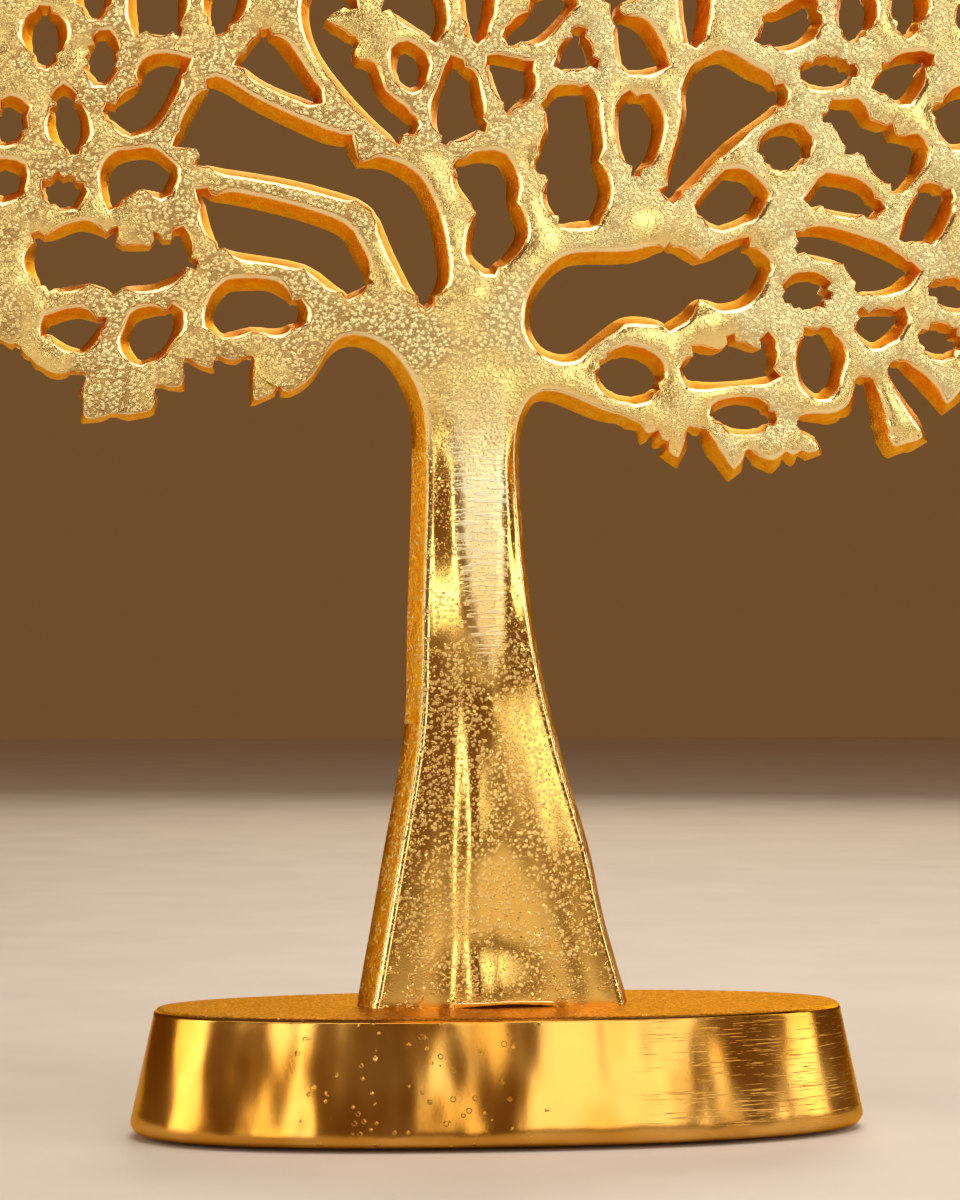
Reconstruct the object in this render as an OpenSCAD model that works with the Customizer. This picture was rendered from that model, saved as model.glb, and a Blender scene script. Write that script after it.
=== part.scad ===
// Tree of life ornament. A flat pierced crown and its trunk are one casting,
// screwed from below to a hollow oval foot that stands on four thin pads.
// X runs to the right, Y to the back and Z up, in millimetres.
// The origin is on the resting surface, under the middle of the foot.

/* [Crown] */
// Thickness of the crown plate
plate_t = 12; // [9:0.5:14]
// Radius of the crown's edge
crown_r = 125; // [124:0.5:130]
// Height of the crown's centre above the resting surface
crown_z = 232; // [230:1:234]
// How far the middle of a hole's wall stands in from its front rim
draft = 1.4; // [0.6:0.1:1.4]

/* [Trunk] */
// Thickness of the trunk where it meets the foot
trunk_foot_t = 19; // [16:0.5:24]
// Width of the trunk's flat front facet, as a share of the trunk's width
facet_share = 0.46; // [0.3:0.02:0.6]

/* [Foot] */
// Widest width of the foot
foot_w = 146; // [140:1:160]
// Widest depth of the foot
foot_d = 60; // [54:1:76]
// Height of the foot's own casting
foot_h = 24.2; // [22:0.2:30]
// Thickness of the foot's walls
foot_wall = 4; // [3:0.5:5]
// Thickness of the foot's top
foot_top_t = 5; // [4:0.5:6]

/* [Fixings] */
// Diameter of the screws into the trunk
screw_d = 6; // [5:1:6]
// Distance between the two screws
screw_gap = 30; // [26:1:32]
// Diameter of the pads under the foot
pad_d = 12; // [8:1:12]
// Thickness of the pads
pad_t = 0.8; // [0.6:0.1:1.2]

/* [Hidden] */

$fn = 64;
cut = 0.5;                       // how far a cutter runs past what it cuts
gold = [0.83, 0.62, 0.25];
steel = [0.62, 0.63, 0.65];
rubber = [0.12, 0.11, 0.1];

foot_top_z = pad_t + foot_h;
trunk_x = -1.5;                  // middle of the trunk where it meets the foot
screw_xs = [trunk_x - screw_gap / 2, trunk_x + screw_gap / 2];

// ---- smooth outlines ------------------------------------------------------

// A point on the curve that passes through b and c, with a and d as the points beside them.
function between(a, b, c, d, t) =
    0.5 * (2 * b + (c - a) * t + (2 * a - 5 * b + 4 * c - d) * t * t + (3 * b - a - 3 * c + d) * t * t * t);

// A closed curve through a list of points, with the given number of steps from one to the next.
function smooth(p, steps) =
    let (n = len(p))
    [for (i = [0 : n - 1]) for (k = [0 : steps - 1])
        between(p[(i + n - 1) % n], p[i], p[(i + 1) % n], p[(i + 2) % n], k / steps)];

// A closed clockwise outline moved in by d, each point square to the line between its neighbours.
function inset(p, d) =
    let (n = len(p))
    [for (i = [0 : n - 1])
        let (along = p[(i + 1) % n] - p[(i + n - 1) % n])
        p[i] + d * [along[1], -along[0]] / norm(along)];

// A pebble: an oval with a slight three-sided lump, given clockwise.
// o is [x, z, half width, half height, turn]; lump is 0 for a plain oval.
pebble_points = 14;
function pebble(o, lump) =
    [for (i = [0 : pebble_points - 1])
        let (a = -360 * i / pebble_points,
             r = 1 + lump * cos(3 * a + 40 * o[4]),       // each pebble's lumps are turned differently
             x = r * o[2] * cos(a),
             z = r * o[3] * sin(a))
        [o[0] + x * cos(o[4]) - z * sin(o[4]), o[1] + x * sin(o[4]) + z * cos(o[4])]];

// ---- the crown's holes ----------------------------------------------------

// Plain ovals, each at its front rim: [x, z, half width, half height, turn].
oval_holes = [
    [-90, 214.5, 5, 7, 0], [-79, 210.5, 4.8, 6, -5], [-80.5, 223.5, 4.5, 6.3, 0],
    [-55, 222.5, 4.8, 8.2, -15], [-85.5, 198, 4.8, 7.6, 8], [-97, 197.7, 5, 5.5, -15],
    [-86.5, 184.5, 5.4, 5, 0], [-97.8, 186.4, 5.4, 4.8, 10], [-18.6, 210.3, 4.6, 5.6, 10],
    [-5.3, 225.5, 4.2, 10.8, 0], [38.5, 226, 3.9, 11, 0], [71.8, 223.5, 5.1, 7.3, -5],
    [82.4, 225, 4.8, 7.2, 0], [66.4, 211.4, 7, 4.8, 3], [92.6, 166.9, 7, 4.7, -8],
    [89.2, 157.6, 6, 4.8, -10], [25.5, 149.8, 8.2, 6.3, -8], [57, 195.4, 6.8, 6, 8],
    [61.6, 166.6, 6.6, 5.3, 5], [48.8, 142, 7.8, 4.9, -5]
];

// Lobed holes on the left of the trunk, each a clockwise list of points round its front rim.
left_holes = [
    // hooked hole
    [[-72.8, 208.8], [-70.5, 211.3], [-66.4, 212.6], [-62.4, 211], [-62.2, 207.5], [-65.1, 201],
     [-68.6, 196.6], [-73.5, 194.7], [-78, 197], [-79.5, 201], [-76.7, 204], [-73.7, 206.2]],
    // upright block
    [[-74.5, 228], [-72, 232], [-65.5, 232], [-62, 228], [-61.9, 217], [-64, 214.3], [-69.5, 214],
     [-74, 217]],
    // D shape
    [[-77.7, 191.9], [-71.9, 193.9], [-67, 193.1], [-63.6, 189.3], [-64.8, 184.8], [-67.7, 182.9],
     [-71.2, 183.3], [-73.8, 181.6], [-76.4, 180.4], [-79, 181.8], [-80.1, 186.6]],
    // long wing beside the trunk
    [[-60.3, 205.9], [-57.4, 208], [-53.8, 207.1], [-49.9, 204.8], [-45, 202.3], [-35.1, 197.9],
     [-30.2, 196.7], [-27.6, 193.2], [-23.7, 192.9], [-19.4, 191.1], [-15.5, 187.9], [-12.1, 180.8],
     [-10.3, 171.1], [-11.1, 166.2], [-14.5, 162], [-19, 164.4], [-23.6, 173.1], [-27.5, 181.2],
     [-35.1, 184.1], [-45, 186.3], [-59.5, 188.5], [-61.9, 191.3], [-65.4, 193.5], [-64.8, 197.7]],
    // second wing, below the first
    [[-61.2, 184.6], [-57, 185.8], [-50, 184.8], [-40, 182.5], [-31.2, 179.3], [-27.7, 174.6],
     [-24.6, 168.8], [-25.6, 165.6], [-30, 163.5], [-33.8, 165], [-39.7, 169.1], [-49.9, 170.9],
     [-54.4, 171.7], [-58.7, 174.6]],
    // three-cornered hole
    [[-49.6, 217.2], [-47, 218.4], [-44.3, 217], [-41, 213.2], [-37.8, 208.7], [-35.5, 204.5],
     [-36.5, 202.3], [-39.7, 202.1], [-45, 203.9], [-49.9, 206.4], [-53.4, 210], [-52.2, 213.9]],
    // slit with a spur on its right side
    [[-39.5, 226], [-37, 231], [-32.5, 230], [-29, 225.5], [-28, 221.5], [-30.2, 220.4],
     [-32.6, 219.4], [-30.2, 218.2], [-27.6, 216], [-27.4, 213], [-24.6, 211], [-22.4, 205.7],
     [-17, 201], [-16.8, 197], [-20, 194.7], [-23, 195.2], [-30.6, 202.3], [-38.1, 211.9],
     [-40.6, 220]],
    // scoop above the small round hole
    [[-25, 227], [-19, 230], [-13, 228], [-10.6, 221], [-12, 216.4], [-15.6, 215.6], [-22, 219.4],
     [-25.5, 221.2]],
    // pears over the trunk
    [[-9.1, 212.9], [-6.1, 211.3], [-4.1, 208.7], [-3.4, 203.8], [-2.1, 199.2], [-3.7, 196.6],
     [-10.8, 193.6], [-13.8, 195.6], [-15.1, 199.5], [-14.6, 204.8], [-12.2, 211]],
    [[-3.9, 212.6], [-0.8, 214.1], [3.2, 213.5], [6.7, 211.5], [7.2, 206.1], [4.9, 202.7],
     [1.9, 200.6], [-0.9, 201.6], [-3.8, 208.5]],
    // tall waisted hole straight over the trunk
    [[-10.1, 192.7], [-6.8, 194.2], [-3.5, 194.6], [0.7, 193.5], [3.5, 189], [3.6, 184.4],
     [5.4, 178.6], [3.8, 174], [-0.5, 169.8], [-4.5, 169.5], [-8, 173.6], [-7.3, 181.5],
     [-10.5, 186.5], [-11, 190]],
    // rim holes at the lower left
    [[-90, 160.3], [-86.4, 161.9], [-82.6, 162.4], [-78.7, 161.2], [-76.9, 158.6], [-80.9, 152.9],
     [-85.2, 152.1], [-90.2, 155], [-91.3, 157.7]],
    [[-73.5, 161.3], [-67, 163.3], [-63.4, 162.3], [-62.6, 158], [-65.4, 152.6], [-70, 150],
     [-73.8, 151], [-75.9, 155.5]],
    [[-58, 164.8], [-54.8, 167.8], [-49.8, 168.4], [-44.9, 168], [-39.3, 164.2], [-39.2, 159],
     [-44, 156.3], [-49.5, 156.5], [-55, 155.3], [-58.6, 157.5], [-59.4, 161]],
    // broad hole with a broken upper edge
    [[-93.4, 176.5], [-89, 177.5], [-83.2, 179.6], [-77.7, 178.4], [-75.2, 178.8], [-74.2, 175.9],
     [-70.9, 175.9], [-69.2, 178.2], [-66.4, 177.5], [-64.2, 178.4], [-61.2, 176.5], [-59.1, 171],
     [-61, 168.4], [-68, 164.9], [-73.5, 164.2], [-77, 163.2], [-81.5, 164.6], [-90, 163.6],
     [-94.2, 169]]
];

// Lobed holes on the right of the trunk.
right_holes = [
    // slanting bean under the upper edge
    [[0, 219], [3.9, 223], [6, 226.5], [10.5, 228], [14.5, 226], [14.3, 221.5], [9.2, 216],
     [4.5, 214.1], [0.4, 214.8]],
    // small triangle
    [[12.5, 218.7], [15, 220.1], [17.9, 218.7], [20.4, 212.7], [19, 209.9], [15.2, 209.1],
     [10.6, 209.9], [10, 214.5]],
    // tall hole with two waists
    [[9.9, 207.5], [13.9, 208.5], [18.3, 207.5], [19.8, 202.5], [20.9, 196.2], [20.6, 192.9],
     [22.1, 186.5], [19.9, 180.3], [15.9, 178.5], [11, 178.8], [7.4, 183.5], [7, 187.8],
     [5.1, 191.8], [7.3, 198.5], [6.9, 203.5]],
    // egg beside it
    [[23.7, 206.3], [26.9, 207.2], [30.5, 205.7], [33, 200], [31.5, 193.1], [28.3, 189], [25, 189.2],
     [22.1, 195], [21.6, 202]],
    // slit with a spur on its right side
    [[21, 231], [27, 232], [30.5, 228], [28.5, 224.4], [24.9, 222.9], [28.8, 221.2], [31.3, 218.2],
     [33.4, 213], [30.9, 209.9], [27.2, 209.1], [23.9, 210.2], [22, 213.5], [20.9, 221.3],
     [18.5, 226]],
    // great three-cornered hole
    [[38.7, 213.4], [44.8, 215.4], [51.2, 212.2], [55.3, 210.8], [58.2, 207.5], [56.3, 202.5],
     [46.8, 195.3], [38.4, 186.7], [34.8, 184.2], [31.7, 185.4], [31.4, 188.5], [35.2, 201.3],
     [35.4, 207.5]],
    // leaf at the upper edge
    [[51.9, 222.7], [56, 224.6], [62, 227], [65.4, 223.5], [64.8, 219.5], [61.5, 216], [55.7, 214.5],
     [50.8, 216.8]],
    // rounded corner hole
    [[75.9, 213.4], [79, 215.4], [83.1, 216.5], [86.9, 216], [88.3, 213.3], [84.5, 206.4],
     [80.7, 204.5], [76.6, 206.1], [74.6, 209]],
    [[43.4, 191.2], [47.5, 191.9], [51.3, 190.7], [53.7, 187], [52.9, 183.4], [50.2, 180.3],
     [44, 178.2], [39.1, 180.7], [38.2, 185]],
    // two linked lobes
    [[65.9, 206.1], [69, 206.8], [72.6, 206.2], [75.9, 203], [79.8, 202.2], [81.6, 200.2],
     [84.8, 199], [86.7, 195.5], [85.2, 189.9], [82.4, 187], [79, 186.6], [75.6, 189],
     [72.2, 192.8], [68.6, 194], [66.4, 198.2], [63.4, 202]],
    [[63.5, 190.1], [66.6, 191.2], [71.1, 190.6], [74.8, 189], [78.1, 185.2], [76.5, 181.6],
     [73, 180.9], [64.2, 182.4], [61.1, 185.5]],
    [[83.7, 188.7], [88.2, 190.3], [91.4, 189.2], [92.7, 185.8], [89.1, 177.9], [86, 175.7],
     [82.6, 175.8], [80, 179]],
    // broad lobed hole beside the trunk
    [[3.9, 163], [5, 166.5], [7.4, 170], [10.6, 172.9], [15, 174.5], [26, 175], [33.6, 177.6],
     [39.7, 175], [46.8, 178.1], [50.8, 177.7], [54.2, 172.5], [53.2, 167.7], [49.6, 163.8],
     [44.5, 162.4], [40.5, 163.3], [37.6, 160.6], [33.5, 158.6], [29.2, 159.5], [25.2, 159.4],
     [21.5, 156.9], [15.8, 152.6], [11, 151.9], [6.5, 154], [3.9, 158.2]],
    // long lobed hole
    [[59.2, 180.6], [64.8, 180.9], [69.9, 179.8], [79.9, 176.1], [84.4, 172.8], [83.5, 169],
     [80.2, 166.4], [75.4, 165.3], [71, 166.4], [68, 171.2], [64.1, 172.4], [59, 173.6],
     [57.6, 177.5]],
    // rim holes at the lower right
    [[70.8, 163.8], [73.4, 164.9], [78.8, 165.1], [82.2, 164], [82.5, 160], [78.8, 156.1],
     [74.7, 155.3], [70.6, 158.5]],
    [[59.7, 159.2], [63.1, 160.9], [66.8, 160.2], [69.7, 155], [68.9, 148.2], [65, 144.8],
     [60.5, 146.6], [58.4, 152]],
    // hole with a broken upper edge
    [[37, 155.5], [39.4, 156.9], [43.1, 156.8], [45, 159.3], [48.1, 158.6], [51.2, 157.5],
     [53, 159], [55.8, 157.2], [56.6, 152], [54.4, 148], [43.4, 146.6], [37.4, 147.5],
     [35.2, 151.5]],
    // at the right edge
    [[86.3, 204], [89, 207.3], [93.5, 209.6], [98.5, 208.3], [101, 203.5], [98.5, 197.5],
     [92.5, 195.6], [88.5, 198.3]]
];

// The rest of the crown: ovals set by hand at both sides and in a row over the holes above.
side_holes = [
    [-102.3, 174.5, 4.2, 5.2, -25], [-109.8, 201, 4.3, 6, -10], [-104.5, 213.5, 5.2, 5.2, 10],
    [-114.3, 217, 3.6, 6, 0], [-92.7, 230.8, 5, 6.2, 0], [-104, 229.5, 5, 6.5, 5],
    [-115.3, 233, 3.8, 7, 0], [96.5, 223.5, 5.6, 6.8, -20], [101.5, 185.5, 4.2, 7, 20],
    [109.5, 198.5, 4.2, 6, 8], [109.5, 214.5, 5.2, 6.8, 5], [113.2, 231.5, 4.6, 6.6, 0]
];
row_holes = [
    [-109, 247, 5, 6.2, 10], [-95.2, 245, 6.2, 5.8, 0], [-80, 241, 6.4, 6.4, 10],
    [-64.5, 242.5, 6.2, 7, -10], [-49, 241, 6.4, 6.2, 20], [-34, 241.8, 6, 6.4, 0],
    [-19, 241, 5.8, 6.8, 15], [-5, 245.2, 5.2, 5.6, 0], [9, 239.5, 6, 8, -10], [24, 242, 6.4, 6, 25],
    [38.5, 246.5, 5.4, 5.8, 0], [51.5, 238.5, 6.4, 7.4, 10], [66, 240, 5.6, 6.6, -15],
    [80.5, 241.5, 6.4, 6, 0], [95.5, 240.5, 6.2, 6.4, 20], [109, 246.5, 5, 5.6, -10]
];

// Rings of ovals over the top: [radius, how many in a full turn, half radial size, half size along].
hole_rings = [
    [112.5, 38, 5.4, 7.2], [97.5, 32, 5.8, 7.6], [81, 24, 7, 8.6], [63, 18, 7.4, 9],
    [44, 14, 7.6, 7.8], [26, 9, 6.4, 6.6]
];
rings_from = 255;                // the rings keep above this height
hole_draws = 5;                  // chance draws for each hole, and the most holes in a ring
ring_most = 40;
ring_draws = rands(-1, 1, hole_draws * ring_most * len(hole_rings), 7);

function ring_hole(k, i) =
    let (ring = hole_rings[k],
         first = hole_draws * (ring_most * k + i),
         u = [for (j = [0 : hole_draws - 1]) ring_draws[first + j]],
         a = 360 * (i + (k % 2) / 2) / ring[1] + u[0],
         r = ring[0] + 0.8 * u[1])
    [r * cos(a), crown_z + r * sin(a), ring[2] + 0.6 * u[2], ring[3] + 0.9 * u[3], a + 10 * u[4]];

ring_holes = [for (k = [0 : len(hole_rings) - 1]) for (i = [0 : hole_rings[k][1] - 1])
    if (ring_hole(k, i)[1] > rings_from) ring_hole(k, i)];

// ---- the crown's edge -----------------------------------------------------

// The chiselled lower edge, from the right end of the rim to the left one, along the front face.
lower_edge_right = [
    [92.2, 147.5], [90.5, 146.2], [85.4, 151], [81.9, 153.2], [79.2, 153.5], [77.8, 151.5],
    [78.9, 148.1], [80.9, 144.5], [83.3, 141.2], [83.7, 139.2], [80.2, 137.5], [77.8, 144.1],
    [74.8, 150], [71.7, 149.6], [70.2, 145.8], [65.8, 143.1], [59.7, 142], [59.7, 139.6],
    [63.7, 135.7], [60.3, 136], [56.9, 135.3], [54.6, 134.2], [49.5, 135.5], [46.5, 133.1],
    [41, 139.3], [37.3, 139.7], [36.3, 137.6], [35.3, 134.9], [34, 136.9], [31.2, 139.1],
    [26.5, 140.4], [23.2, 142], [17.2, 142.2], [13.2, 146.4], [9.9, 148], [5.9, 148.5],
    [3.9, 148], [2.2, 145.3], [1.2, 141.3], [0.9, 136.7]
];
neck = [[-0.6, 128], [-3, 120], [-8, 120], [-12.5, 132]];    // dies away inside the trunk
lower_edge_left = [
    [-14.4, 140.2], [-15.7, 144.8], [-17.1, 148.7], [-19.4, 153.5], [-22.6, 156.7], [-27.5, 158.9],
    [-31.8, 159.3], [-35.1, 158.1], [-37.4, 155.1], [-38.4, 150.9], [-38.2, 148.6], [-42.6, 147.5],
    [-44.3, 148.1], [-46.9, 147.4], [-47.5, 150.7], [-48.5, 154.2], [-57.3, 154.2], [-58.3, 152.9],
    [-63.6, 153.6], [-65.4, 149.1], [-69.6, 148.3], [-70.9, 143.8], [-76.1, 143.7], [-80, 143.2],
    [-80.6, 150.1], [-84.2, 151.3], [-88.1, 151.2], [-90.6, 153.7], [-94, 156.5], [-98.5, 158.2]
];

// The rest of the rim: short facets round a circle, left to right over the top.
rim_from = 216;                  // direction of the rim's left end from the crown's centre
rim_step = 4;
rim_count = 64;
facet_turn = 0.4;                // each step has its second point this far along it
rim_draws = rands(0, 4, 2 * rim_count, 11);
function rim_cut(i) = let (a = rim_from - rim_step * i) a == 0 || a == 180 ? 0 : rim_draws[i];
function rim_point(a, depth) = [(crown_r - depth) * cos(a), crown_z + (crown_r - depth) * sin(a)];
rim = [for (i = [0 : rim_count - 1]) for (side = [0, 1])
    let (depth = side == 0 ? rim_cut(i) : rim_draws[rim_count + i])
    rim_point(rim_from - rim_step * (i + facet_turn * side), depth)];

lump = 0.07;                     // how three-sided the pebbles are
curve_steps = 3;                 // steps from one point of a lobed hole to the next

module crown_plate() {
    hand_holes = concat([for (o = oval_holes) inset(pebble(o, 0), draft)],
                        [for (o = concat(side_holes, row_holes, ring_holes)) inset(pebble(o, lump), draft)]);
    lobed_holes = [for (p = concat(left_holes, right_holes)) smooth(inset(p, draft), curve_steps)];
    rotate([90, 0, 0])
        linear_extrude(plate_t, center = true)
            difference() {
                polygon(concat(rim, lower_edge_right, neck, lower_edge_left));
                for (p = concat(hand_holes, lobed_holes)) polygon(p);
            }
}

// ---- solids through rings of points ---------------------------------------

// Closed solid through rings that all have the same number of points, lowest ring first.
module through_rings(rings) {
    m = len(rings[0]);
    last = len(rings) - 1;
    sides = [for (k = [0 : last - 1]) for (i = [0 : m - 1]) for (half = [0, 1])
        let (a = k * m + i, b = k * m + (i + 1) % m)
        half == 0 ? [a, b, a + m] : [b, b + m, a + m]];
    lid = [[for (i = [m - 1 : -1 : 0]) i], [for (i = [0 : m - 1]) last * m + i]];
    polyhedron([for (ring = rings) for (p = ring) p], concat(lid, sides));
}

// The trunk's outline by height: [z, left x, right x, half thickness].
trunk_half_t = trunk_foot_t / 2;
trunk_steps = [
    [foot_top_z, -28.5, 25.5, trunk_half_t], [32, -27.4, 23.6, trunk_half_t - 0.2],
    [42, -25.6, 20.8, trunk_half_t - 0.5], [56, -23.2, 17.8, trunk_half_t - 0.9],
    [70, -20.6, 13.6, trunk_half_t - 1.6], [85, -18.4, 9.6, plate_t / 2 + 1.2],
    [100, -17.2, 6.6, plate_t / 2 + 0.8], [116, -16.6, 4.8, plate_t / 2 + 0.4],
    [134, -16.2, 3.6, plate_t / 2 + 0.2], [152, -16.8, 3, plate_t / 2 - 0.3]
];
side_inset = 1.8;                // how far the side facets lean in towards front and back

// Ten-sided ring of the trunk: a flat front and back facet with two leaning sides each.
function trunk_ring(s) =
    let (mid = (s[1] + s[2]) / 2, f = facet_share * (s[2] - s[1]) / 2, y = s[3])
    [[mid + f, y, s[0]], [s[2] - side_inset, 0.6 * y, s[0]], [s[2], 0, s[0]],
     [s[2] - side_inset, -0.6 * y, s[0]], [mid + f, -y, s[0]], [mid - f, -y, s[0]],
     [s[1] + side_inset, -0.6 * y, s[0]], [s[1], 0, s[0]], [s[1] + side_inset, 0.6 * y, s[0]],
     [mid - f, y, s[0]]];

thread_depth = 13;
arch_w = 20;                     // shallow arch under the trunk, between the screws
arch_h = 0.7;
arch_r = (arch_w * arch_w / 4 + arch_h * arch_h) / (2 * arch_h);

arch_x = trunk_x + 2;
arch_sides = 256;

module tree_casting() {
    color(gold)
        difference() {
            union() {
                crown_plate();
                through_rings([for (s = trunk_steps) trunk_ring(s)]);
            }
            for (x = screw_xs)
                translate([x, 0, foot_top_z - cut]) cylinder(h = thread_depth + cut, d = screw_d);
            translate([arch_x, 0, foot_top_z + arch_h - arch_r]) rotate([90, 0, 0])
                cylinder(h = 2 * trunk_foot_t, r = arch_r, center = true, $fn = arch_sides);
        }
}

// ---- the foot -------------------------------------------------------------

oval_power = 2 / 2.3;            // a little squarer than an ellipse
oval_points = 72;

function bent(v) = sign(v) * pow(abs(v), oval_power);
// Oval ring at height z, smaller than the foot's widest oval by the given amount all round.
function foot_ring(z, less) =
    [for (i = [0 : oval_points - 1])
        let (a = -360 * i / oval_points)
        [(foot_w / 2 - less) * bent(cos(a)), (foot_d / 2 - less) * bent(sin(a)), z]];

edge_r = 2.2;                    // rounding of the foot's lower edge
top_r = 1.5;                     // rounding of its upper edge
side_lean = 4.4;                 // how far the sides lean in from bottom to top
core_z = foot_top_z - foot_top_t;

pad_x = 46;
pad_y = 12;
pad_boss_d = pad_d + 1;
screw_boss_d = 15;
screw_boss_h = 3;                // how far the screw bosses hang into the hollow
screw_boss_z = core_z - screw_boss_h;
hole_play = 0.6;                 // a screw's hole in the foot is this much wider than the screw

module foot_shell() {
    lower = [for (a = [0 : 30 : 90]) foot_ring(pad_t + edge_r * (1 - cos(a)), edge_r * (1 - sin(a)))];
    upper = [for (a = [0 : 30 : 90])
        foot_ring(foot_top_z - top_r * (1 - sin(a)), side_lean + top_r * (1 - cos(a)))];
    difference() {
        through_rings(concat(lower, upper));
        through_rings([foot_ring(pad_t - cut, foot_wall + edge_r), foot_ring(core_z, foot_wall + side_lean)]);
    }
}

module at_pads() {
    for (x = [-pad_x, pad_x]) for (y = [-pad_y, pad_y]) translate([x, y, pad_t]) children();
}

module base_casting() {
    color(gold)
        difference() {
            union() {
                foot_shell();
                at_pads() cylinder(h = core_z - pad_t + cut, d = pad_boss_d);
                for (x = screw_xs)
                    translate([x, 0, screw_boss_z]) cylinder(h = screw_boss_h + cut, d = screw_boss_d);
            }
            for (x = screw_xs)
                translate([x, 0, screw_boss_z - cut])
                    cylinder(h = foot_top_t + screw_boss_h + 2 * cut, d = screw_d + hole_play);
        }
}

// ---- screws, washers and pads ---------------------------------------------

plain_t = 1.6;
lock_t = 1.6;
plain_z = screw_boss_z - plain_t;
lock_z = plain_z - lock_t;
head_h = screw_d;
head_d = 1.65 * screw_d;
hex_flats = 0.83 * screw_d;
head_edge = 0.5;
shank_r = screw_d / 2 - 0.05;
tip = 1;                         // chamfer of the screw's tip, and its room at the bottom of the hole
shank_l = foot_top_z + thread_depth - tip - lock_z;

module fixing_screws() {
    color(steel)
        for (x = screw_xs) translate([x, 0, lock_z])
            difference() {
                rotate_extrude()
                    polygon([[0, -head_h], [head_d / 2 - head_edge, -head_h],
                             [head_d / 2, -head_h + head_edge], [head_d / 2, 0], [shank_r, 0],
                             [shank_r, shank_l - tip], [shank_r - tip, shank_l], [0, shank_l]]);
                translate([0, 0, -head_h - cut])
                    cylinder(h = head_h / 2 + cut, d = hex_flats / cos(30), $fn = 6);
            }
}

module washer(d, bore, t) {
    difference() {
        cylinder(h = t, d = d);
        translate([0, 0, -cut]) cylinder(h = t + 2 * cut, d = bore);
    }
}

washer_play = 0.4;

module plain_washers() {
    color(steel)
        for (x = screw_xs) translate([x, 0, plain_z]) washer(2 * screw_d, screw_d + washer_play, plain_t);
}

split_w = 0.8;                   // cut through the spring washer

module lock_washers() {
    color(steel) for (x = screw_xs) translate([x, 0, lock_z])
        difference() {
            washer(1.8 * screw_d, screw_d + washer_play / 2, lock_t);
            translate([screw_d / 2 - 1, -split_w / 2, -cut]) cube([screw_d, split_w, lock_t + 2 * cut]);
        }
}

pad_edge = 0.2;

module pad(side, depth) {
    color(rubber)
        translate([side * pad_x, depth * pad_y, 0]) rotate_extrude()
            polygon([[0, 0], [pad_d / 2 - pad_edge, 0], [pad_d / 2, pad_edge], [pad_d / 2, pad_t],
                     [0, pad_t]]);
}

tree_casting();
base_casting();
fixing_screws();
plain_washers();
lock_washers();
pad(-1, -1);  // pad_front_left
pad(1, -1);  // pad_front_right
pad(-1, 1);  // pad_back_left
pad(1, 1);  // pad_back_right
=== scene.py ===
import math

import bmesh
import bpy
import numpy as np
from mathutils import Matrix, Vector
from mathutils.geometry import delaunay_2d_cdt


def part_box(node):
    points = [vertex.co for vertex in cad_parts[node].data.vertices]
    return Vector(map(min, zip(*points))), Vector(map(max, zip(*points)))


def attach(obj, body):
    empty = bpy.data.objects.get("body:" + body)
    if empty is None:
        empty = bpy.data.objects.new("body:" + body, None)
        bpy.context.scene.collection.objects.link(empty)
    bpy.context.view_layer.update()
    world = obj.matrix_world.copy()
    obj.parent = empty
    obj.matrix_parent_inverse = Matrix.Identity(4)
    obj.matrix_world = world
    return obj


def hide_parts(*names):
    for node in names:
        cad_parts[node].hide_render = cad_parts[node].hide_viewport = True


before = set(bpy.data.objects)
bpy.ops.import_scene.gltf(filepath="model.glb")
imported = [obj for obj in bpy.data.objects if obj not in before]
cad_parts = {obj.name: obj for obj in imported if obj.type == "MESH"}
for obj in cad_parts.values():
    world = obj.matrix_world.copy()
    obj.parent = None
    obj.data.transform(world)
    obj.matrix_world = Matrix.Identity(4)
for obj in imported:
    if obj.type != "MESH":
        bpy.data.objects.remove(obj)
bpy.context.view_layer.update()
mm = 0.001

treeLow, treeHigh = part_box("tree_casting")
footLow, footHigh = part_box("base_casting")
screwsLow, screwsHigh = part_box("fixing_screws")
footTop = treeLow.z  # the trunk stands on this height


fixings = {"bore": 6.0 * mm, "gap": 30 * mm}
screwMiddle = (screwsLow.x + screwsHigh.x) / 2
screwPlaces = [screwMiddle - fixings["gap"] / 2, screwMiddle + fixings["gap"] / 2]


def useOnly(piece):
    for other in bpy.context.selected_objects:
        other.select_set(False)
    piece.select_set(True)
    bpy.context.view_layer.objects.active = piece


def startPiece(name):
    # takes the primitive that was just added, with its place in its mesh
    piece = bpy.context.object
    piece.name = name
    useOnly(piece)
    bpy.ops.object.transform_apply(location=True, rotation=True, scale=True)
    return piece


def pick(piece, kind, test):
    # selects the vertices, edges or faces that pass a test, in edit mode
    bpy.ops.mesh.select_mode(type=kind)
    bpy.ops.mesh.select_all(action="DESELECT")
    mesh = bmesh.from_edit_mesh(piece.data)
    groups = {"VERT": mesh.verts, "EDGE": mesh.edges, "FACE": mesh.faces}
    for part in groups[kind]:
        if test(part):
            part.select_set(True)
    mesh.select_flush_mode()
    bmesh.update_edit_mesh(piece.data)


def middle(part):
    return sum((v.co for v in part.verts), Vector()) / len(part.verts)


def level(edge):
    return abs(edge.verts[0].co.z - edge.verts[1].co.z) < 0.01 * mm


def placeVertices(piece, move):
    # moves the selected vertices in edit mode, each by a formula
    mesh = bmesh.from_edit_mesh(piece.data)
    for v in mesh.verts:
        if v.select:
            v.co = move(v.co)
    bmesh.update_edit_mesh(piece.data)


def extrude(x=0, y=0, z=0):
    bpy.ops.mesh.extrude_region_move(TRANSFORM_OT_translate={"value": (x, y, z)})


def resize(x, y, z, centre):
    bpy.ops.transform.resize(value=(x, y, z), center_override=centre)


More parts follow.
